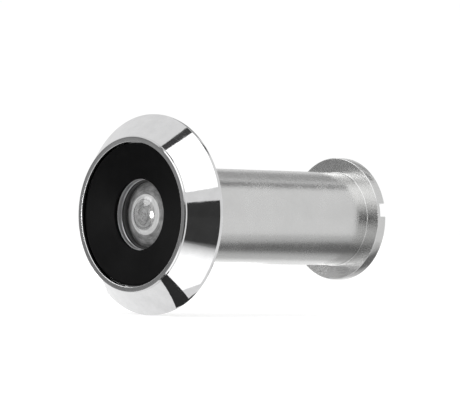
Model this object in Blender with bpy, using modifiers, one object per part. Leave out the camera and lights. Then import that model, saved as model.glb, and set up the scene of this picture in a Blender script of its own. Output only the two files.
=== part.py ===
"""Door viewer: a wide-angle peephole that clamps through a drilled door.

The outdoor half is a chromed bezel on a threaded tube that carries the lens
stack. The indoor half is a plain sleeve with a slotted flange, screwed over
that tube until the door leaf is held between bezel and flange. The optical
axis is world Y, with the outdoor side at -Y. The origin is the centre of the
bezel's back face, where it meets the outer face of the door.
"""
from math import pi, radians, sqrt

import bpy

MM = 0.001

# Driving dimensions, in millimetres. Stations along the axis are measured
# from the bezel's back face, positive towards the room.
BARREL_RADIUS = 7.0            # fits the standard 14 mm drilled hole
BEZEL_RADIUS = 14.55
BEZEL_EDGE = 0.35              # width of the thin cylindrical edge
LIP_RADIUS = 11.32             # flat-topped lip around the dish
LIP_INNER_RADIUS = 10.48
LIP_FRONT = -4.47
LIP_HEIGHT = 0.42              # from the top of the cone to the lip's face
DOOR_THICKNESS = 37.5          # bezel back to flange front, as drawn; it screws from 35 to 57
FLANGE_RADIUS = 9.2
FLANGE_THICKNESS = 1.7
FLANGE_CHAMFER = 0.18
SLEEVE_LENGTH = 34.0           # front end of the sleeve to flange front
THREAD_RADIUS = 5.9            # crest of the M12 outer thread
THREAD_BORE_RADIUS = 6.1
THREAD_BORE_LENGTH = 8.0       # threaded stretch at the sleeve's front end
RELIEF_BORE_RADIUS = 6.25
TUBE_END = 30.8
TUBE_BORE_RADIUS = 4.4
COIN_SLOT_WIDTH = 2.0
COIN_SLOT_DEPTH = 1.2
COIN_SLOT_TILT = radians(-9.5)  # the +X end of the slot stands above the axis
DISH_RADIUS = 10.33
DISH_FRONT = -3.95
DISH_SEAT = -2.95              # step in the bezel that carries the dish's rim
DISH_HOLE_RADIUS = 5.15
DISH_HOLE_FRONT = -2.9
DISH_HOLE_BACK = -2.45
SHOULDER_RADIUS = 9.9          # the tube's front disc, seated in the bezel
SHOULDER_FRONT = -1.6
SHOULDER_BACK = -0.15
COLLAR_RADIUS = 6.25           # around the front lens, behind the dish
COLLAR_FRONT = -2.3
BOSS_RADIUS = 6.6              # centres the tube in the door hole
BOSS_BACK = 0.7
COUNTERBORE_RADIUS = 5.75
COUNTERBORE_END = 0.05
LENS_LEDGE = 0.6               # thickness of the ledge between the first two lenses
LENS_LEDGE_RADIUS = 3.2
WINDOW_RADIUS = 3.2            # eyepiece window in the flange
FIT = 0.15                     # gap between neighbours

FINE, MEDIUM = 48, 32          # flats around large and small turned pieces


def dome(vertex, curvature_radius, rim_radius, side, segments=6):
    """A spherical lens face from the axis out to rim_radius. side +1 falls away to +station."""
    points = []
    for i in range(segments + 1):
        radius = rim_radius * i / segments
        sag = curvature_radius - sqrt(curvature_radius ** 2 - radius ** 2)
        points.append((radius, vertex + side * sag))
    return points


def material(name, colour, roughness, metallic=0.0, transmission=0.0):
    made = bpy.data.materials.new(name)
    made.use_nodes = True
    shader = made.node_tree.nodes["Principled BSDF"]
    shader.inputs["Base Color"].default_value = (*colour, 1.0)
    shader.inputs["Roughness"].default_value = roughness
    shader.inputs["Metallic"].default_value = metallic
    shader.inputs["Transmission Weight"].default_value = transmission
    made.diffuse_color = (*colour, 1.0)
    return made


def turned(name, outline, finish, steps=FINE, parent=None):
    """A piece turned about the axis.

    outline holds (radius, station) points in millimetres. It runs along the
    outer side from the indoor end to the outdoor end, then back through the
    bore; an outline that starts and ends on the axis is a solid disc.
    """
    solid = min(radius for radius, _ in outline) < 1e-9
    mesh = bpy.data.meshes.new(name)
    points = [(radius * MM, 0.0, station * MM) for radius, station in outline]
    edges = [(i, i + 1) for i in range(len(points) - 1)]
    if not solid:
        edges.append((len(points) - 1, 0))
    mesh.from_pydata(points, edges, [])
    blank = bpy.data.objects.new(name, mesh)
    parts.objects.link(blank)
    screw = blank.modifiers.new("turn", "SCREW")
    screw.axis = "Z"
    screw.angle = 2 * pi
    screw.steps = screw.render_steps = steps
    screw.use_merge_vertices = True
    screw.merge_threshold = 1e-7
    bpy.context.view_layer.update()
    graph = bpy.context.evaluated_depsgraph_get()
    body = bpy.data.meshes.new_from_object(blank.evaluated_get(graph))
    blank.modifiers.clear()
    blank.data = body
    bpy.data.meshes.remove(mesh)
    body.name = name
    body.shade_smooth()
    body.set_sharp_from_angle(angle=radians(25))
    body.materials.clear()
    body.materials.append(finish)
    if parent:
        blank.parent = parent
        blank.matrix_parent_inverse = parent.matrix_world.inverted()
    blank.rotation_euler = (-pi / 2, 0, 0)
    return blank


def ring(name, outer, inner, front, back, finish, chamfer=0.0, steps=MEDIUM, parent=None):
    """A plain turned ring between two stations, with its two outer corners chamfered."""
    if chamfer:
        outline = [(outer - chamfer, back), (outer, back - chamfer),
                   (outer, front + chamfer), (outer - chamfer, front)]
    else:
        outline = [(outer, back), (outer, front)]
    return turned(name, outline + [(inner, front), (inner, back)], finish, steps, parent)


def box_cutter(name, size, place, turn=0.0):
    """A rectangular cutter; size and place in millimetres, turn about the axis."""
    bpy.ops.mesh.primitive_cube_add(size=1.0, location=[v * MM for v in place])
    cutter = bpy.context.object
    cutter.name = name
    cutter.scale = [v * MM for v in size]
    cutter.rotation_euler = (0, turn, 0)
    bpy.ops.object.transform_apply(location=False, rotation=False, scale=True)
    cutter.hide_render = True
    cutter.display_type = "WIRE"
    for collection in list(cutter.users_collection):
        collection.objects.unlink(cutter)
    cutters.objects.link(cutter)
    return cutter


def cut(piece, cutter):
    modifier = piece.modifiers.new(cutter.name, "BOOLEAN")
    modifier.operation = "DIFFERENCE"
    modifier.solver = "EXACT"
    modifier.object = cutter


def joint_axis(name, station, parent=None):
    empty = bpy.data.objects.new(name, None)
    empty.empty_display_size = 0.01
    empty.location = (0, station * MM, 0)
    parts.objects.link(empty)
    if parent:
        empty.parent = parent
        bpy.context.view_layer.update()
        empty.matrix_parent_inverse = parent.matrix_world.inverted()
    bpy.context.view_layer.update()
    return empty


def make_bezel():
    """Chromed cover: flat back, thin edge, steep cone and a flat-topped lip around the dish."""
    edge_front = -0.2 - BEZEL_EDGE
    recess = SHOULDER_RADIUS + FIT
    outline = [
        (BEZEL_RADIUS - 0.2, 0.0),
        (BEZEL_RADIUS, -0.2),
        (BEZEL_RADIUS, edge_front),
        (BEZEL_RADIUS - 0.12, edge_front - 0.08),
        (LIP_RADIUS + 0.06, LIP_FRONT + LIP_HEIGHT),
        (LIP_RADIUS, LIP_FRONT + LIP_HEIGHT - 0.05),
        (LIP_RADIUS, LIP_FRONT + 0.1),
        (LIP_RADIUS - 0.1, LIP_FRONT),
        (LIP_INNER_RADIUS + 0.08, LIP_FRONT),
        (LIP_INNER_RADIUS, LIP_FRONT + 0.08),
        (LIP_INNER_RADIUS, DISH_SEAT),
        (recess - 0.8, DISH_SEAT),
        (recess - 0.8, SHOULDER_FRONT - FIT),
        (recess, SHOULDER_FRONT - FIT),
        (recess, 0.0),
    ]
    return turned("bezel", outline, chrome)


def make_black_dish():
    """Shallow anti-glare cone between the bezel's lip and the front lens."""
    rim_back = DISH_SEAT - FIT
    outline = [
        (DISH_RADIUS, rim_back),
        (DISH_RADIUS, DISH_FRONT),
        (DISH_RADIUS - 0.25, DISH_FRONT),
        (DISH_HOLE_RADIUS + 0.1, DISH_HOLE_FRONT - 0.02),
        (DISH_HOLE_RADIUS, DISH_HOLE_FRONT + 0.05),
        (DISH_HOLE_RADIUS, DISH_HOLE_BACK),
        (COLLAR_RADIUS, DISH_HOLE_BACK),
        (DISH_RADIUS - 1.0, rim_back),
    ]
    return turned("black_dish", outline, black_plastic)


def make_objective_tube():
    """Front disc with a collar, boss, neck and threaded tube in one turned piece."""
    ledge_back = COUNTERBORE_END + LENS_LEDGE
    neck = THREAD_RADIUS - 0.55
    thread_start = 4.5
    outline = [
        (THREAD_RADIUS - 0.5, TUBE_END),
        (THREAD_RADIUS, TUBE_END - 0.5),
        (THREAD_RADIUS, thread_start),
        (neck, thread_start - 0.55),
        (neck, BOSS_BACK),
        (BOSS_RADIUS, BOSS_BACK),
        (BOSS_RADIUS, SHOULDER_BACK),
        (SHOULDER_RADIUS, SHOULDER_BACK),
        (SHOULDER_RADIUS, SHOULDER_FRONT),
        (COLLAR_RADIUS, SHOULDER_FRONT),
        (COLLAR_RADIUS, COLLAR_FRONT),
        (COUNTERBORE_RADIUS, COLLAR_FRONT),
        (COUNTERBORE_RADIUS, COUNTERBORE_END),
        (LENS_LEDGE_RADIUS, COUNTERBORE_END),
        (LENS_LEDGE_RADIUS, ledge_back),
        (TUBE_BORE_RADIUS, ledge_back),
        (TUBE_BORE_RADIUS, TUBE_END),
    ]
    return turned("objective_tube", outline, nickel)


def make_front_optics():
    """Retaining ring, rubber seal and negative front lens, in the tube's counterbore."""
    outer = COUNTERBORE_RADIUS - FIT
    ring_back = COLLAR_FRONT + 0.84
    ring("front_lens_ring", outer, 5.1, COLLAR_FRONT, ring_back, grey_metal, 0.05)
    seal_front = ring_back + FIT
    seal_back = seal_front + 0.71
    ring("front_seal", outer, 4.8, seal_front, seal_back, rubber, 0.1)
    edge_front = seal_back + FIT
    edge_back = COUNTERBORE_END - FIT
    domed_radius = 4.85
    front_radius = 7.6
    vertex = edge_front - front_radius + sqrt(front_radius ** 2 - domed_radius ** 2)
    cup_rim = 3.1
    cup_vertex = vertex + 0.55
    cup_depth = edge_back - cup_vertex
    cup_radius = (cup_rim ** 2 + cup_depth ** 2) / (2 * cup_depth)
    rear_face = dome(cup_vertex, cup_radius, cup_rim, 1, 8)
    front_face = dome(vertex, front_radius, domed_radius, 1)
    outline = rear_face + [(outer, edge_back), (outer, edge_front)] + front_face[::-1]
    turned("front_lens", outline, glass, MEDIUM)


def make_inner_optics():
    """Second and third negative lenses, the spacer between them, the field stop and the lock ring."""
    outer = TUBE_BORE_RADIUS - FIT
    station = COUNTERBORE_END + LENS_LEDGE + FIT
    for name, thickness, cup_radius in (("second_lens", 2.0, 4.6), ("third_lens", 1.9, 6.0)):
        cup_rim = 3.3
        cup_sag = cup_radius - sqrt(cup_radius ** 2 - cup_rim ** 2)
        back = station + thickness
        rear_face = dome(back - cup_sag, cup_radius, cup_rim, 1)
        outline = rear_face + [(outer, back), (outer, station), (0.0, station)]
        turned(name, outline, glass, MEDIUM)
        station = back + FIT
        if name == "second_lens":
            ring("lens_spacer", outer, 3.5, station, station + 2.6, nickel, 0.1)
            station += 2.6 + FIT
    ring("field_stop", outer, 2.5, station, station + 0.8, nickel)
    station += 0.8 + FIT
    lock_length = 1.6
    lock = ring("lens_lock_ring", outer, 3.1, station, station + lock_length, brass, 0.15)
    notch = box_cutter("spanner_notch", (2.4 * outer, 1.0, 0.9), (0, station + lock_length, 0))
    cut(lock, notch)


def make_sleeve(parent):
    """Smooth barrel with the slotted flange; the inner thread is at its outdoor end."""
    front = DOOR_THICKNESS - SLEEVE_LENGTH
    flange_front = DOOR_THICKNESS
    flange_back = flange_front + FLANGE_THICKNESS
    thread_end = front + THREAD_BORE_LENGTH
    wall_front = flange_front - 0.1
    chamfer = FLANGE_CHAMFER
    outline = [
        (WINDOW_RADIUS + 0.7, flange_back),
        (FLANGE_RADIUS - chamfer, flange_back),
        (FLANGE_RADIUS, flange_back - chamfer),
        (FLANGE_RADIUS, flange_front + chamfer / 2),
        (FLANGE_RADIUS - chamfer / 2, flange_front),
        (BARREL_RADIUS, flange_front),
        (BARREL_RADIUS, front + 0.3),
        (BARREL_RADIUS - 0.3, front),
        (THREAD_BORE_RADIUS + 0.3, front),
        (THREAD_BORE_RADIUS, front + 0.3),
        (THREAD_BORE_RADIUS, thread_end),
        (RELIEF_BORE_RADIUS, thread_end + 0.15),
        (RELIEF_BORE_RADIUS, wall_front),
        (WINDOW_RADIUS, wall_front),
        (WINDOW_RADIUS, flange_back - 0.5),
    ]
    sleeve = turned("sleeve", outline, satin_nickel, FINE, parent)
    slot = box_cutter("coin_slot", (2.4 * FLANGE_RADIUS, 2 * COIN_SLOT_DEPTH, COIN_SLOT_WIDTH),
                      (0, flange_back, 0), COIN_SLOT_TILT)
    cut(sleeve, slot)
    return wall_front


def make_eyepiece(wall_front, carriage, turning):
    """Positive eyepiece lens between a fibre washer and a spring ring, against the flange wall."""
    outer = RELIEF_BORE_RADIUS - FIT
    washer_front = wall_front - FIT - 0.4
    ring("eyepiece_washer", outer, 3.7, washer_front, wall_front - FIT, fibre, parent=turning)
    edge_back = washer_front - FIT
    edge_front = edge_back - 1.2
    lens_radius = outer - 0.35
    domed_radius = 3.6
    curvature = 7.0
    sag = curvature - sqrt(curvature ** 2 - domed_radius ** 2)
    rear_face = dome(edge_back + sag, curvature, domed_radius, -1)
    front_face = dome(edge_front - sag, curvature, domed_radius, 1)
    outline = rear_face + [(lens_radius, edge_back), (lens_radius, edge_front)] + front_face[::-1]
    turned("eyepiece_lens", outline, glass, MEDIUM, carriage)
    ring("eyepiece_ring", outer, 4.3, edge_front - FIT - 0.8, edge_front - FIT, steel, 0.1, parent=turning)


for old in list(bpy.data.objects):
    bpy.data.objects.remove(old, do_unlink=True)
parts = bpy.data.collections.new("door_viewer")
cutters = bpy.data.collections.new("cutters")
for group in (parts, cutters):
    bpy.context.scene.collection.children.link(group)

chrome = material("chrome", (0.80, 0.80, 0.80), 0.06, metallic=1.0)
nickel = material("nickel_thread", (0.62, 0.60, 0.57), 0.28, metallic=1.0)
satin_nickel = material("satin_nickel", (0.68, 0.67, 0.66), 0.30, metallic=1.0)
black_plastic = material("black_satin", (0.012, 0.012, 0.013), 0.38)
grey_metal = material("grey_ring", (0.22, 0.22, 0.23), 0.35, metallic=1.0)
brass = material("brass", (0.72, 0.56, 0.28), 0.30, metallic=1.0)
steel = material("spring_steel", (0.55, 0.55, 0.55), 0.30, metallic=1.0)
rubber = material("seal_rubber", (0.02, 0.02, 0.02), 0.80)
fibre = material("washer_fibre", (0.06, 0.05, 0.045), 0.90)
glass = material("lens_glass", (0.95, 0.97, 0.97), 0.02, transmission=1.0)

make_bezel()
make_black_dish()
make_objective_tube()
make_front_optics()
make_inner_optics()
slide_axis = joint_axis("door_thickness_axis", DOOR_THICKNESS)
turn_axis = joint_axis("sleeve_turn_axis", DOOR_THICKNESS, slide_axis)
make_eyepiece(make_sleeve(turn_axis), slide_axis, turn_axis)
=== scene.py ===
"""Looks of the door viewer: turned pieces with true edges, screw threads, glass
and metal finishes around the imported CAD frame, in a small light tent.

The frame is in metres. The optical axis is world Y, the outdoor side is at -Y and
the origin is the centre of the bezel's back face. Profiles are written in
millimetres as (radius, station) points, where the station runs along Y. A third
number is the radius of a rounded corner.
"""

from math import cos, hypot, pi, radians, sin, sqrt

import bpy
import bmesh
import numpy as np
from mathutils import Matrix, Vector


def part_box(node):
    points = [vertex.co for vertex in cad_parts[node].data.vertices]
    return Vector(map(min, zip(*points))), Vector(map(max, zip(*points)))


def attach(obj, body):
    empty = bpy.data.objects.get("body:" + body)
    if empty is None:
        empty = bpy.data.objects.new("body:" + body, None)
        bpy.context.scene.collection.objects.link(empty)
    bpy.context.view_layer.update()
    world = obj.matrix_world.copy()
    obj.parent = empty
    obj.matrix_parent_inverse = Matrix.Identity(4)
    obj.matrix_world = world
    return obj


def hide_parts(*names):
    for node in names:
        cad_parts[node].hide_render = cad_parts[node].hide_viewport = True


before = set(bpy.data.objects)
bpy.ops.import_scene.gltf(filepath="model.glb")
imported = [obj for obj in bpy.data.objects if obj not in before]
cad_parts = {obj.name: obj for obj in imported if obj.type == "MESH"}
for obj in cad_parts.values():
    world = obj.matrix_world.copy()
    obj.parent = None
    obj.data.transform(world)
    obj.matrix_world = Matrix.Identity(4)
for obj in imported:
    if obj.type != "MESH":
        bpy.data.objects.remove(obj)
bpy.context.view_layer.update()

MM = 0.001
STEPS = 192                    # columns around a fine turned piece
THREAD_STEPS = 96              # columns around a threaded piece
PITCH = 1.0                    # right-hand thread, mm per turn
FIT = 0.15                     # gap between neighbouring pieces, mm
WELD = 0.001                   # points closer than this become one, mm
CREASE = radians(32)           # edges that turn by more than this stay sharp
LATHE_STREAK = 0.4 * MM        # how slowly a lathe mark changes along the turning direction
STAIN_SIZE = 2.6               # size of a metal's stains, as a share of its slow waves
CLOUD_SIZE = 12                # size of a matt finish's clouds, as a share of its grain

# ---------------------------------------------------------------- geometry


def extent(node):
    """(radius, front station, back station) of a CAD node turned about the axis, in mm."""
    low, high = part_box(node)
    return high.x / MM, low.y / MM, high.y / MM


def dome(vertex, curvature_radius, rim_radius, side, segments=24):
    """A spherical lens face from the axis out to rim_radius. side +1 falls away to +station."""
    points = []
    for i in range(segments + 1):
        radius = rim_radius * i / segments
        sag = curvature_radius - sqrt(curvature_radius ** 2 - radius ** 2)
        points.append((radius, vertex + side * sag))
    return points


def softened(points, closed=True, segments=4):
    """A profile whose (radius, station, edge radius) corners become arcs; plain pairs stay sharp."""
    made = []
    for i, point in enumerate(points):
        corner = Vector(point[:2])
        edge = point[2] if len(point) == 3 else 0.0
        if not edge:
            made.append(tuple(corner))
            continue
        before = (Vector(points[i - 1][:2]) - corner).normalized()
        after = (Vector(points[(i + 1) % len(points)][:2]) - corner).normalized()
        half = before.angle(after) / 2
        centre = corner + (before + after).normalized() * edge / sin(half)
        first = corner + before * edge / np.tan(half) - centre
        last = corner + after * edge / np.tan(half) - centre
        sweep = first.angle_signed(last)
        for k in range(segments + 1):
            turn = Matrix.Rotation(-sweep * k / segments, 2)
            made.append(tuple(centre + turn @ first))
    return made + made[:1] if closed else made


def turned_rows(profile, steps):
    """Vertices and quads of a profile turned about the axis."""
    angles = np.arange(steps) * 2 * pi / steps
    radius, station = np.array(profile).T
    grid = np.empty((len(profile), steps, 3))
    grid[:, :, 0] = radius[:, None] * np.cos(angles)
    grid[:, :, 1] = station[:, None]
    grid[:, :, 2] = radius[:, None] * np.sin(angles)
    row, column = np.meshgrid(np.arange(len(profile) - 1), np.arange(steps), indexing="ij")
    ahead = (column + 1) % steps
    faces = np.stack([row * steps + column, row * steps + ahead,
                      (row + 1) * steps + ahead, (row + 1) * steps + column], -1)
    return grid.reshape(-1, 3), faces.reshape(-1, 4)


# One pitch of a V thread with flattened crest and root: (share of the pitch, share of the depth).
THREAD_FORM = ((0.0, 0.0), (0.10, 0.0), (0.14, 0.06), (0.40, 0.94),
               (0.44, 1.0), (0.68, 1.0), (0.72, 0.94), (0.96, 0.06))


def thread_rows(start, end, crest, root, steps, end_depth=0.0, runout=0.8):
    """Vertices and quads of a right-hand helical thread.

    Over runout mm at each end the thread fades to one radius: the crest's where end_depth
    is 0, the root's where it is 1.
    """
    pitches = range(int(np.floor(start / PITCH)) - 1, int(np.ceil(end / PITCH)) + 1)
    stations = [(pitch + share) * PITCH for pitch in pitches for share, _ in THREAD_FORM]
    depths = [depth for _ in pitches for _, depth in THREAD_FORM]
    turn = np.arange(steps) / steps
    station = np.clip(np.array(stations)[:, None] - PITCH * turn, start, end)
    fade = np.clip(np.minimum(station - start, end - station) / runout, 0, 1)
    depth = end_depth + (np.array(depths)[:, None] - end_depth) * fade
    radius = crest + (root - crest) * depth
    points = np.stack([radius * np.cos(2 * pi * turn), station, radius * np.sin(2 * pi * turn)], -1)
    faces = []
    for row in range(len(stations) - 1):
        for column in range(steps):
            # A full turn moves the helix back by one pitch, so the last column joins the
            # first one's rows one pitch down.
            drop = len(THREAD_FORM) if column == steps - 1 else 0
            if row < drop:
                continue
            ahead = (column + 1) % steps
            faces.append((row * steps + column, (row - drop) * steps + ahead,
                          (row + 1 - drop) * steps + ahead, (row + 1) * steps + column))
    return points.reshape(-1, 3), np.array(faces)


def build(name, parts, finishes, pick=None):
    """One closed mesh from arrays of vertices and quads in mm.

    pick gives a face's finish from its radius and station. Without it, all faces get the
    first finish.
    """
    shape = bmesh.new()
    for points, faces in parts:
        made = [shape.verts.new(Vector(p) * MM) for p in points.tolist()]
        for face in faces.tolist():
            shape.faces.new([made[i] for i in face])
    bmesh.ops.remove_doubles(shape, verts=shape.verts, dist=WELD * MM)
    bmesh.ops.recalc_face_normals(shape, faces=shape.faces)
    mesh = bpy.data.meshes.new(name)
    shape.to_mesh(mesh)
    shape.free()
    for finish in finishes:
        mesh.materials.append(finish)
    if pick:
        for face in mesh.polygons:
            centre = face.center / MM
            face.material_index = finishes.index(pick(hypot(centre.x, centre.z), centre.y))
    mesh.shade_smooth()
    mesh.set_sharp_from_angle(angle=CREASE)
    piece = bpy.data.objects.new(name, mesh)
    bpy.context.scene.collection.objects.link(piece)
    return piece


def place(piece, body, node):
    piece.modifiers.new("even_shading", "WEIGHTED_NORMAL").keep_sharp = True
    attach(piece, body)
    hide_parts(node)


def turned(name, profile, finishes, body, node, pick=None):
    """A fine turned piece that stands for a CAD node."""
    piece = build(name, [turned_rows(profile, STEPS)], finishes, pick)
    place(piece, body, node)


# --------------------------------------------------------------- materials


def add(tree, kind, inputs=None, **settings):
    """A shader node; an input is a value, or another node's output to link."""
    made = tree.nodes.new(kind)
    for key, value in settings.items():
        setattr(made, key, value)
    for key, value in (inputs or {}).items():
        if isinstance(value, bpy.types.NodeSocket):
            tree.links.new(value, made.inputs[key])
        else:
            made.inputs[key].default_value = value
    return made


def new_material(name, **constants):
    """A material with its shader; constants are set on the shader's own sockets."""
    made = bpy.data.materials.new(name)
    made.use_nodes = True
    tree = made.node_tree
    shader = tree.nodes["Principled BSDF"]
    for key, value in constants.items():
        shader.inputs[key.replace("_", " ")].default_value = value
    return made, tree, shader


def lathe_coordinates(tree, around):
    """Coordinates that run fast across the lathe marks and slowly along them.

    Across them runs the radius plus most of the station, so that flat faces and barrels
    both get rings.
    """
    station_share = 0.8
    where = add(tree, "ShaderNodeTexCoord").outputs["Object"]
    off_axis = add(tree, "ShaderNodeVectorMath", {0: where, 1: (1, 0, 1)}, operation="MULTIPLY")
    radius = add(tree, "ShaderNodeVectorMath", {0: off_axis.outputs["Vector"]}, operation="LENGTH")
    unit = add(tree, "ShaderNodeVectorMath", {0: off_axis.outputs["Vector"]}, operation="NORMALIZE")
    unit_xyz = add(tree, "ShaderNodeSeparateXYZ", {0: unit.outputs["Vector"]})
    xyz = add(tree, "ShaderNodeSeparateXYZ", {0: where})
    across = add(tree, "ShaderNodeMath", {0: xyz.outputs["Y"], 1: station_share,
                                          2: radius.outputs["Value"]}, operation="MULTIPLY_ADD")
    slow_x = add(tree, "ShaderNodeMath", {0: unit_xyz.outputs["X"], 1: around}, operation="MULTIPLY")
    slow_z = add(tree, "ShaderNodeMath", {0: unit_xyz.outputs["Z"], 1: around}, operation="MULTIPLY")
    joined = add(tree, "ShaderNodeCombineXYZ", {"X": slow_x.outputs[0], "Y": across.outputs[0],
                                                "Z": slow_z.outputs[0]})
    return joined.outputs["Vector"]


def noise(tree, vector, feature, detail=2.0, roughness=0.5):
    """Noise from 0 to 1 whose features are about that many millimetres across."""
    made = add(tree, "ShaderNodeTexNoise", {"Vector": vector, "Scale": 1 / (feature * MM),
                                            "Detail": detail, "Roughness": roughness})
    return made.outputs["Fac"]


def spread(tree, value, low, high, start=0.3, end=0.7):
    """Maps a noise value onto a range."""
    made = add(tree, "ShaderNodeMapRange", {"Value": value, "From Min": start, "From Max": end,
                                            "To Min": low, "To Max": high})
    return made.outputs["Result"]


def tint(tree, colour, value, share):
    """The colour, darker by up to that share where the value is low."""
    made = add(tree, "ShaderNodeMix", {"Factor": value, "A": (*[c * (1 - share) for c in colour], 1),
                                       "B": (*colour, 1)}, data_type="RGBA")
    return made.outputs["Result"]


def bumps(tree, shader, *layers):
    """Stacks height layers (value, height in micrometres) into the shader's normal."""
    normal = None
    for value, height in layers:
        inputs = {"Height": value, "Strength": 1.0, "Distance": height * 1e-6}
        if normal:
            inputs["Normal"] = normal
        normal = add(tree, "ShaderNodeBump", inputs).outputs["Normal"]
    tree.links.new(normal, shader.inputs["Normal"])


def metal(name, colour, roughness, lathe, grain, mottle, stain=0.06):
    """Turned and plated metal.

    roughness is (low, high). lathe is (line width mm, height um), grain is (size mm,
    height um) and mottle is (size mm, height um): marks along the turning direction,
    fine pits and slow waves.
    """
    made, tree, shader = new_material(name, Metallic=1.0)
    where = add(tree, "ShaderNodeTexCoord").outputs["Object"]
    lines = noise(tree, lathe_coordinates(tree, LATHE_STREAK), lathe[0], 3.0, 0.65)
    pits = noise(tree, where, grain[0], 2.0, 0.6)
    waves = noise(tree, where, mottle[0], 3.0, 0.55)
    stains = noise(tree, where, STAIN_SIZE * mottle[0], 4.0, 0.6)
    tree.links.new(tint(tree, colour, spread(tree, stains, 0.0, 1.0), stain),
                   shader.inputs["Base Color"])
    mixed = add(tree, "ShaderNodeMath", {0: pits, 1: stains}, operation="MULTIPLY").outputs[0]
    tree.links.new(spread(tree, mixed, *roughness, 0.12, 0.42), shader.inputs["Roughness"])
    bumps(tree, shader, (waves, mottle[1]), (lines, lathe[1]), (pits, grain[1]))
    return made


def matt(name, colour, roughness, grain, specular=0.5, share=0.4, lathe=(0.1, 0.0)):
    """Moulded, ground or fibrous matt finish.

    roughness is (low, high), grain and lathe are (size mm, height um), and share is how
    much darker its darkest spots are.
    """
    made, tree, shader = new_material(name, Specular_IOR_Level=specular)
    where = add(tree, "ShaderNodeTexCoord").outputs["Object"]
    fine = noise(tree, where, grain[0], 3.0, 0.6)
    slow = noise(tree, where, CLOUD_SIZE * grain[0], 3.0, 0.55)
    lines = noise(tree, lathe_coordinates(tree, LATHE_STREAK), lathe[0], 3.0, 0.65)
    shade = add(tree, "ShaderNodeMath", {0: slow, 1: lines}, operation="MULTIPLY").outputs[0]
    tree.links.new(tint(tree, colour, spread(tree, shade, 0.0, 1.0, 0.12, 0.38), share),
                   shader.inputs["Base Color"])
    tree.links.new(spread(tree, fine, *roughness), shader.inputs["Roughness"])
    bumps(tree, shader, (slow, 4 * grain[1]), (lines, lathe[1]), (fine, grain[1]))
    return made


def clear_glass(name, index, clarity, rings):
    """Glass: clarity is the share of light let through, and rings is how much its random concentric rings
    darken it. On the part-clear front-lens glasses these rings are painted light and dark arcs."""
    haze_size, ring_width, ring_streak = 1.4, 0.35, 0.3 * MM
    made, tree, shader = new_material(name, IOR=index, Transmission_Weight=clarity)
    where = add(tree, "ShaderNodeTexCoord").outputs["Object"]
    haze = noise(tree, where, haze_size, 4.0, 0.6)
    lines = noise(tree, lathe_coordinates(tree, ring_streak), ring_width, 2.0, 0.5)
    tree.links.new(tint(tree, (0.95, 0.955, 0.955), spread(tree, lines, 0.0, 1.0), rings),
                   shader.inputs["Base Color"])
    tree.links.new(spread(tree, haze, 0.0, 0.02), shader.inputs["Roughness"])
    bumps(tree, shader, (haze, 0.05))
    return made


chrome = metal("chrome_plate", (0.80, 0.80, 0.805), roughness=(0.03, 0.09),
               lathe=(0.09, 0.6), grain=(0.14, 0.6), mottle=(0.8, 2.0), stain=0.10)
lip_chrome = metal("chrome_lip_satin", (0.74, 0.74, 0.745), roughness=(0.12, 0.20),
                   lathe=(0.09, 0.8), grain=(0.12, 0.8), mottle=(2.2, 2.0))
satin = metal("satin_nickel_plate", (0.695, 0.695, 0.690), roughness=(0.20, 0.30),
              lathe=(0.12, 2.0), grain=(0.30, 12.0), mottle=(1.6, 4.0))
# The flange's edges and the barrel fillet get lighter, smoother plating: the lighter colour is a painted
# highlight along those edges.
edge_highlight_paint = metal("satin_nickel_painted_edge_highlight", (0.74, 0.74, 0.735), roughness=(0.14, 0.22),
                  lathe=(0.10, 0.8), grain=(0.28, 1.0), mottle=(1.6, 1.0))
nickel = metal("nickel_thread_plate", (0.66, 0.64, 0.60), roughness=(0.20, 0.34),
               lathe=(0.12, 2.0), grain=(0.15, 2.0), mottle=(1.5, 2.0))
grey_ring = metal("grey_ring_metal", (0.62, 0.62, 0.63), roughness=(0.28, 0.42),
                  lathe=(0.06, 1.2), grain=(0.10, 1.0), mottle=(1.0, 1.0))
brass = metal("bare_brass_turned", (0.72, 0.56, 0.28), roughness=(0.22, 0.36),
              lathe=(0.10, 2.0), grain=(0.12, 1.0), mottle=(1.0, 1.0))
steel = metal("spring_steel_drawn", (0.55, 0.55, 0.55), roughness=(0.22, 0.34),
              lathe=(0.08, 1.5), grain=(0.12, 1.0), mottle=(1.0, 1.0))

black_dish_finish = matt("black_dish_satin", (0.0040, 0.0040, 0.0042), roughness=(0.28, 0.36),
                         grain=(0.14, 1.2), specular=0.05)
rubber = matt("seal_rubber_matt", (0.042, 0.042, 0.042), roughness=(0.70, 0.85), grain=(0.12, 2.0))
fibre = matt("washer_fibre_pressed", (0.06, 0.05, 0.045), roughness=(0.80, 0.95),
             grain=(0.10, 6.0), specular=0.3)
# Light grey matt paint on rings of the front lens: a painted highlight that stands in for the bright rings
# of light in the lens.
painted_ring_highlight = matt("lens_painted_ring_highlight", (0.64, 0.64, 0.64), roughness=(0.30, 0.45),
                grain=(0.10, 1.5), share=0.25, lathe=(0.08, 1.5))
lens_paint = matt("lens_edge_black", (0.010, 0.010, 0.010), roughness=(0.55, 0.70),
                  grain=(0.12, 1.0), specular=0.3)
ground = matt("ground_glass_grey", (0.34, 0.34, 0.34), roughness=(0.45, 0.65),
              grain=(0.10, 2.0), specular=0.25, share=0.65, lathe=(0.22, 8.0))
ground_edge = matt("lens_edge_ground", (0.62, 0.62, 0.61), roughness=(0.45, 0.65),
                   grain=(0.10, 2.0), share=0.3)

glass = clear_glass("lens_glass_polished", index=1.6, clarity=1.0, rings=0.02)
# Front-lens glasses that let only part of the light through and show a near-white diffuse colour: painted
# brightness that stands in for light seen inside the lens, with painted light and dark rings from their ring
# noise. The second one is a brighter painted ring.
glass_painted_glow = clear_glass("lens_glass_painted_glow", index=2.0, clarity=0.64, rings=0.6)
glass_painted_bright_ring = clear_glass("lens_glass_painted_bright_ring", index=2.0, clarity=0.36, rings=0.30)

# ------------------------------------------------------------ outdoor half


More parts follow.
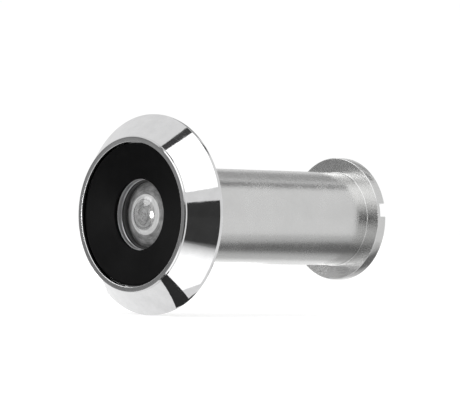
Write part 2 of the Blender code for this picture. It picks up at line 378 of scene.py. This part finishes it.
def make_bezel():
    """Chromed bezel: thin rounded edge, steep cone, flat-topped lip and the seat for the dish."""
    radius, front, back = extent("bezel")
    edge_front = -0.58
    lip_outer, lip_inner, lip_chamfer, lip_height = 11.32, 10.48, 0.14, 0.40
    foot_width, foot_height = 0.06, 0.07
    seat_hole, seat_front, seat_back, recess = 9.25, -2.95, -1.75, 10.05
    profile = softened([
        (radius, back, 0.16), (radius, edge_front, 0.13),
        (lip_outer + foot_width, front + lip_height + foot_height), (lip_outer, front + lip_height),
        (lip_outer, front + lip_chamfer), (lip_outer - lip_chamfer, front), (lip_inner, front, 0.10),
        (lip_inner, seat_front), (seat_hole, seat_front, 0.05),
        (seat_hole, seat_back), (recess, seat_back), (recess, back, 0.08)])

    def finish_at(face_radius, station):
        on_lip = lip_inner < face_radius < lip_outer and station < front + 0.5 * lip_height
        return lip_chrome if on_lip else chrome

    turned("bezel_chrome_shell", profile, [chrome, lip_chrome],
           "objective", "bezel", finish_at)


def make_dish():
    """Anti-glare cone with a rolled rim around the front lens."""
    radius, front, hole_back = extent("black_dish")
    hole, hole_front, hole_back_radius = 5.15, hole_back - 0.45, 6.3
    rim_width, rim_back, rim_back_width = 0.27, hole_back - 0.65, 1.0
    profile = softened([
        (radius, rim_back, 0.05), (radius, front, 0.10), (radius - rim_width, front, 0.06),
        (hole, hole_front, 0.12), (hole, hole_back, 0.04), (hole_back_radius, hole_back),
        (radius - rim_back_width, rim_back)])
    turned("dish_satin_cone", profile, [black_dish_finish], "objective", "black_dish")


def make_tube():
    """Front disc and the threaded tube, with a stepped bore for the lenses."""
    shoulder, front, back = extent("objective_tube")
    crest, root = 5.9, 5.35
    thread_start, thread_end = 4.5, back - 0.5
    counterbore, window, bore, chamfer = 5.75, 3.2, 4.4, 0.15
    window_front, window_back = 0.05, 0.65
    shoulder_front, shoulder_back, collar, boss, boss_end = -1.6, -0.15, 6.25, 6.6, 0.7
    plain_surface = softened([
        (root, thread_end), (root, back, 0.2), (bore + chamfer, back), (bore, back - chamfer),
        (bore, window_back), (window, window_back, 0.05),
        (window, window_front, 0.05), (counterbore, window_front), (counterbore, front, 0.05),
        (collar, front, 0.05), (collar, shoulder_front), (shoulder, shoulder_front, 0.08),
        (shoulder, shoulder_back, 0.08), (boss, shoulder_back), (boss, boss_end, 0.1),
        (root, boss_end), (root, thread_start)], closed=False)
    thread = thread_rows(thread_start, thread_end, crest, root, THREAD_STEPS, end_depth=1.0)
    piece = build("tube_threaded", [turned_rows(plain_surface, THREAD_STEPS), thread], [nickel])
    place(piece, "objective", "objective_tube")


def make_front_optics():
    """Retaining ring, rubber seal and the cupped front lens."""
    radius, front, back = extent("front_lens_ring")
    bore, step, step_front, step_back = 5.1, 5.04, back - 0.17, back - 0.11
    profile = softened([(radius, back, 0.05), (radius, front, 0.05), (bore, front, 0.05),
                        (bore, step_front), (step, step_back), (step, back)])
    turned("lens_ring_turned", profile, [grey_ring], "objective", "front_lens_ring")

    radius, front, back = extent("front_seal")
    bore = 4.8
    profile = softened([(radius, back, 0.1), (radius, front, 0.1), (bore, front, 0.08), (bore, back, 0.05)])
    turned("lens_seal_flat", profile, [rubber], "objective", "front_seal")

    edge_front = back + FIT
    radius, vertex, edge_back = extent("front_lens")
    dome_rim, dome_radius, cup_rim, centre_thickness = 4.85, 7.6, 3.1, 0.55
    cup_vertex = vertex + centre_thickness
    cup_depth = edge_back - cup_vertex
    cup_radius = (cup_rim ** 2 + cup_depth ** 2) / (2 * cup_depth)
    profile = (dome(cup_vertex, cup_radius, cup_rim, 1, 40)
               + [(radius, edge_back), (radius, edge_front)]
               + dome(vertex, dome_radius, dome_rim, 1, 36)[::-1])
    # Zones of the domed face, from the middle outwards: painted glow, a brighter painted ring and a painted
    # ring highlight, then ground glass; then the small painted highlight ring on the cup.
    painted_glow_rim, painted_ring_rim, painted_highlight_rim = 2.3, 2.69, 2.96
    cup_highlight_inner, cup_highlight_outer = 2.3, 2.42
    face_gap, paint_width = 0.05, 0.1

    def finish_at(face_radius, station):
        dome_sag = dome_radius - sqrt(dome_radius ** 2 - min(face_radius, dome_rim) ** 2)
        if station > vertex + dome_sag + face_gap:
            if cup_highlight_inner < face_radius < cup_highlight_outer:
                return painted_ring_highlight
            return lens_paint if face_radius > radius - paint_width else glass
        for rim, finish in ((painted_glow_rim, glass_painted_glow), (painted_ring_rim, glass_painted_bright_ring), (painted_highlight_rim, painted_ring_highlight)):
            if face_radius < rim:
                return finish
        return ground

    turned("front_lens_glass", profile, [glass, ground, lens_paint, painted_ring_highlight, glass_painted_glow, glass_painted_bright_ring],
           "objective", "front_lens", finish_at)


def make_inner_optics():
    """Second and third lenses, the spacer between them and the field stop."""
    cup_rim, flat_margin, edge_margin = 3.3, 0.01, 0.02
    for node, cup_radius in (("second_lens", 4.6), ("third_lens", 6.0)):
        radius, front, back = extent(node)
        cup_vertex = back - cup_radius + sqrt(cup_radius ** 2 - cup_rim ** 2)
        profile = dome(cup_vertex, cup_radius, cup_rim, 1, 28)
        profile += [(radius, back), (radius, front), (0.0, front)]

        def finish_at(face_radius, station, rim=radius, flat_back=back):
            on_flat = face_radius > cup_rim and station > flat_back - flat_margin
            return ground_edge if on_flat or face_radius > rim - edge_margin else glass

        turned(node + "_glass", profile, [glass, ground_edge], "objective", node, finish_at)
    for node, bore in (("lens_spacer", 3.5), ("field_stop", 2.5)):
        radius, front, back = extent(node)
        profile = softened([(radius, back, 0.06), (radius, front, 0.06),
                            (bore, front, 0.06), (bore, back, 0.06)])
        turned(node + "_turned", profile, [nickel], "objective", node)


# ------------------------------------------------------------- indoor half


def slot_cutter(station, depth, width, tilt, reach):
    """A bar across the flange, flared at its mouth so that the slot's edges are broken."""
    flare, clear = 0.08, 1.0
    half = width / 2
    mouth = half + flare
    section = ((-half, -depth), (half, -depth), (half, -flare), (mouth, 0.0),
               (mouth, clear), (-mouth, clear), (-mouth, 0.0), (-half, -flare))
    shape = bmesh.new()
    ends = [[shape.verts.new(Vector((x, station + y, z)) * MM) for z, y in section]
            for x in (-reach, reach)]
    count = len(section)
    shape.faces.new(ends[0])
    shape.faces.new(ends[1][::-1])
    for i in range(count):
        shape.faces.new((ends[0][i], ends[1][i], ends[1][(i + 1) % count], ends[0][(i + 1) % count]))
    bmesh.ops.recalc_face_normals(shape, faces=shape.faces)
    mesh = bpy.data.meshes.new("slot_cutter")
    shape.to_mesh(mesh)
    shape.free()
    cutter = bpy.data.objects.new("slot_cutter", mesh)
    cutter.rotation_euler = (0, tilt, 0)
    bpy.context.scene.collection.objects.link(cutter)
    return cutter


def cut_away(piece, cutter):
    """Cuts a piece with a cutter for good, and drops the cutter."""
    modifier = piece.modifiers.new("cut", "BOOLEAN")
    modifier.operation = "DIFFERENCE"
    modifier.solver = "EXACT"
    modifier.object = cutter
    bpy.context.view_layer.update()
    graph = bpy.context.evaluated_depsgraph_get()
    cut_mesh = bpy.data.meshes.new_from_object(piece.evaluated_get(graph))
    piece.modifiers.clear()
    piece.data = cut_mesh
    bpy.data.objects.remove(cutter)
    cut_mesh.shade_smooth()
    cut_mesh.set_sharp_from_angle(angle=CREASE)


def make_sleeve():
    """Smooth barrel with a slotted flange; its inner thread is at the outdoor end."""
    flange, front, back = extent("sleeve")
    barrel = 7.0
    flange_front = back - 1.7
    front_edge, back_edge, fillet = 0.11, 0.20, 0.10
    window, window_flare, wall_front = 3.2, 0.7, flange_front - 0.1
    crest, root, relief, relief_step = 5.47, 6.1, 6.25, 0.15
    thread_start, thread_end = front + 0.3, front + 8.0
    slot_depth, slot_width, slot_tilt, slot_reach = 1.2, 2.0, radians(-9.5), 1.3 * flange
    plain_surface = softened([
        (root, thread_end), (relief, thread_end + relief_step), (relief, wall_front, 0.1),
        (window, wall_front), (window, back - 0.5), (window + window_flare, back),
        (flange, back, back_edge), (flange, flange_front, front_edge),
        (barrel, flange_front, fillet), (barrel, front, 0.22),
        (root + 0.3, front), (root, thread_start)], closed=False)
    thread = thread_rows(thread_start, thread_end, root, crest, STEPS)

    def finish_at(face_radius, station):
        in_rim = flange_front + front_edge < station < back - back_edge
        on_edge = face_radius > flange - front_edge and not in_rim
        in_fillet = (barrel < face_radius < barrel + fillet
                     and flange_front - fillet < station < flange_front)
        # Edges and fillet take the painted edge highlight.
        return edge_highlight_paint if on_edge or in_fillet else satin

    piece = build("sleeve_flanged", [turned_rows(plain_surface, STEPS), thread],
                  [satin, edge_highlight_paint], finish_at)
    cut_away(piece, slot_cutter(back, slot_depth, slot_width, slot_tilt, slot_reach))
    place(piece, "sleeve", "sleeve")


def make_eyepiece():
    """Positive eyepiece lens seen through the flange window."""
    radius, front, back = extent("eyepiece_lens")
    dome_rim, curvature, chamfer = 3.6, 7.0, 0.1
    sag = curvature - sqrt(curvature ** 2 - dome_rim ** 2)
    profile = (dome(back, curvature, dome_rim, -1)
               + [(radius - chamfer, back - sag), (radius, back - sag - chamfer),
                  (radius, front + sag + chamfer), (radius - chamfer, front + sag)]
               + dome(front, curvature, dome_rim, 1)[::-1])
    turned("eyepiece_glass", profile, [glass], "carriage", "eyepiece_lens")


make_bezel()
make_dish()
make_tube()
make_front_optics()
make_inner_optics()
make_sleeve()
make_eyepiece()
# The hidden rings keep their CAD shape.
for node, finish in (("lens_lock_ring", brass), ("eyepiece_washer", fibre), ("eyepiece_ring", steel)):
    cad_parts[node].data.materials.clear()
    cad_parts[node].data.materials.append(finish)

# ---------------------------------------------------- floor, lights, camera

FLOOR = -extent("bezel")[0]    # the bezel's rim stands on it, mm


def emitter(name, radiance, fade=None):
    """A card's glow. fade is (direction, start, end) in mm: it comes in softly along that direction."""
    made = bpy.data.materials.new(name)
    made.use_nodes = True
    tree = made.node_tree
    tree.nodes.clear()
    surface = add(tree, "ShaderNodeEmission", {"Color": (1, 1, 1, 1), "Strength": radiance})
    if fade:
        direction, start, end = fade
        where = add(tree, "ShaderNodeTexCoord").outputs["Object"]
        along = add(tree, "ShaderNodeVectorMath", {0: where, 1: direction}, operation="DOT_PRODUCT")
        share = spread(tree, along.outputs["Value"], 0.0, 1.0, start * MM, end * MM)
        clear = add(tree, "ShaderNodeBsdfTransparent")
        surface = add(tree, "ShaderNodeMixShader", {0: share, 1: clear.outputs[0], 2: surface.outputs[0]})
    out = add(tree, "ShaderNodeOutputMaterial")
    tree.links.new(surface.outputs[0], out.inputs["Surface"])
    return made


def card(name, corners, radiance, fade=None):
    """A flat studio card that gives light and is unseen by the camera; corners in mm."""
    mesh = bpy.data.meshes.new(name)
    mesh.from_pydata([Vector(c) * MM for c in corners], [], [range(len(corners))])
    mesh.materials.append(emitter(name, radiance, fade))
    made = bpy.data.objects.new(name, mesh)
    bpy.context.scene.collection.objects.link(made)
    made.visible_camera = False
    return made


def mirrored_card(name, corners, radiance, fade=None):
    """A card that shows only in reflections, bright or dark."""
    made = card(name, corners, radiance, fade)
    made.visible_diffuse = False
    made.visible_transmission = False
    made.visible_shadow = False


def flat(z, *corners):
    """Corners (x, y) at one height."""
    return [(x, y, z) for x, y in corners]


def flat_box(z, x_low, x_high, y_low, y_high):
    """Corners of a rectangle at one height."""
    return flat(z, (x_low, y_low), (x_high, y_low), (x_high, y_high), (x_low, y_high))


def upright(start, end, bottom, top):
    """Corners of a wall that stands on the line from start to end, both (x, y)."""
    return [(*start, bottom), (*end, bottom), (*end, top), (*start, top)]


def oval(centre, azimuth, half_width, half_height, count=32):
    """Corners of an upright oval, square to the azimuth, in degrees from -Y towards +X."""
    x, y, z = centre
    along_x, along_y = cos(radians(azimuth)), sin(radians(azimuth))
    corners = []
    for i in range(count):
        turn = 2 * pi * i / count
        reach = half_width * cos(turn)
        corners.append((x + reach * along_x, y + reach * along_y, z + half_height * sin(turn)))
    return corners


def make_floor():
    """Pale floor with a faint shadow. Its own weak glow keeps it nearly white."""
    glow = 0.33
    bpy.ops.mesh.primitive_circle_add(vertices=128, radius=2.2, fill_type="NGON",
                                      location=(0, 0, FLOOR * MM))
    floor = bpy.context.object
    floor.name = "floor"
    made, tree, shader = new_material("pale_floor", Roughness=0.6, Emission_Strength=glow)
    shader.inputs["Emission Color"].default_value = (1, 1, 1, 1)
    where = add(tree, "ShaderNodeTexCoord").outputs["Object"]
    tree.links.new(tint(tree, (0.86, 0.86, 0.86), noise(tree, where, 40, 2.0), 0.03),
                   shader.inputs["Base Color"])
    floor.data.materials.append(made)
    floor.visible_glossy = False   # the metal mirrors the floor cards instead


def make_world():
    """White behind the object, softer light from all round."""
    seen_white, lit_white = 1.02, 0.82
    world = bpy.data.worlds.new("tent")
    bpy.context.scene.world = world
    world.use_nodes = True
    tree = world.node_tree
    tree.nodes.clear()
    seen = add(tree, "ShaderNodeBackground", {"Color": (1, 1, 1, 1), "Strength": seen_white})
    lit = add(tree, "ShaderNodeBackground", {"Color": (1, 1, 1, 1), "Strength": lit_white})
    path = add(tree, "ShaderNodeLightPath")
    mixed = add(tree, "ShaderNodeMixShader", {0: path.outputs["Is Camera Ray"], 1: lit.outputs[0],
                                              2: seen.outputs[0]})
    out = add(tree, "ShaderNodeOutputWorld")
    tree.links.new(mixed.outputs[0], out.inputs["Surface"])


def make_soft_boxes():
    """Large boxes overhead, which light the object, and dimmer panels that the metal mirrors."""
    top = 500.0
    card("soft_box_right", flat(top, (-60, -760), (780, -760), (780, -120), (-30, -120)), 1.7)
    card("soft_box_rear", flat(top, (-30, -120), (780, -120), (780, 420), (20, 420)), 1.0)
    card("panel_left", flat(top, (-90, -1500), (-20, 900), (-1800, 900), (-1800, -1500)), 0.85)
    mirrored_card("strip_overhead", flat(top - 20, (-128, -420), (-84, -420), (125, 560), (-10, 560)), 0.06)
    mirrored_card("wall_left", upright((-500, -900), (-900, -478), -14, 420), 0.19)
    mirrored_card("wall_left_bright", upright((-900, -360), (-900, 160), -14, 260), 0.7)
    mirrored_card("panel_rear_left", flat_box(top - 10, -900, -110, 470, 780), 0.34)


def make_floor_cards():
    """What the metal mirrors from below and from the camera's side, with dark cards that are a painted
    shadow of the object on the floor.

    The cards that lie on the floor are in layers a fraction of a millimetre apart.
    """
    far = 2000
    mirrored_card("floor_mirrored", flat_box(FLOOR + 0.04, -far, far, -far, far), 0.84)
    mirrored_card("floor_mirrored_left", flat_box(FLOOR + 0.06, -far, 10, -far, far), 1.0,
                  fade=((-1, 0, 0), -10, 6))
    mirrored_card("floor_bright", flat(FLOOR + 0.12, (8.2, -13), (22, -22), (34, -3.2), (7.6, -3.2)), 1.4)
    mirrored_card("floor_bright_left", flat_box(FLOOR + 0.12, -90, -12, 9, 38), 2.6)
    mirrored_card("floor_left", flat(FLOOR + 0.1, (-12, -34), (-560, -1390), (-1410, -510), (-60, 10)), 0.28)
    mirrored_card("camera_flag", upright((560, -320), (300, -560), -14.3, 150), 0.04)
    mirrored_card("floor_flag", flat(FLOOR + 0.3, (20, -2), (560, -320), (300, -560), (4, -18)), 0.045,
                  fade=((0.714, -0.70, 0), 19, 33))
    # Dark strips below the bezel and the barrel: painted shadow of the object on the floor, darkest in the
    # middle, seen only in reflections.
    mirrored_card("floor_painted_shadow_front", flat(FLOOR + 0.3, (7.7, -9), (8.7, 5), (5.3, 5), (5.8, -9)), 0.03)
    mirrored_card("floor_painted_shadow_rim", flat(FLOOR + 0.15, (17, 9), (21, 58), (-4, 58), (-2, 9)), 0.58)
    mirrored_card("floor_painted_shadow_edge", flat(FLOOR + 0.2, (11, 9), (15, 58), (1, 58), (3.5, 9)), 0.42)
    mirrored_card("floor_painted_shadow", flat(FLOOR + 0.3, (9.3, 9), (12.5, 58), (3.5, 58), (5, 9)), 0.15)


def make_lamps():
    """Two round lamps for the spots on the lens, and one for the bright edges of the metal."""
    mirrored_card("lamp_front", oval((-35.2, -105.6, 0.0), -19.6, 11.0, 13.8), 9.0)
    mirrored_card("lamp_front_high", oval((-340.0, -400.0, 250.0), -40.5, 120.0, 120.0), 2.6)
    card("lamp_edges", upright((180, -830), (235, -830), 0, 120), 7.0)


def make_camera():
    """Long lens, nearly level, about 46 degrees off the optical axis on the outdoor side."""
    azimuth, roll = radians(45.62), radians(1.4)
    distance, aim_station, aim_height = 0.6, 15.48, 0.957
    right = Vector((cos(azimuth), sin(azimuth), 0))
    back = Vector((sin(azimuth), -cos(azimuth), 0))
    level_up = Vector((0, 0, 1))
    side = cos(roll) * right + sin(roll) * level_up
    up = cos(roll) * level_up - sin(roll) * right
    data = bpy.data.cameras.new("camera")
    data.lens = 318.57
    data.clip_start, data.clip_end = 0.05, 10
    camera = bpy.data.objects.new("camera", data)
    bpy.context.scene.collection.objects.link(camera)
    pose = Matrix((side, up, back)).transposed().to_4x4()
    pose.translation = Vector((0, aim_station, aim_height)) * MM + distance * back
    camera.matrix_world = pose
    bpy.context.scene.camera = camera


make_floor()
make_world()
make_soft_boxes()
make_floor_cards()
make_lamps()
make_camera()
bpy.context.scene.view_settings.view_transform = "Standard"

bpy.context.view_layer.update()
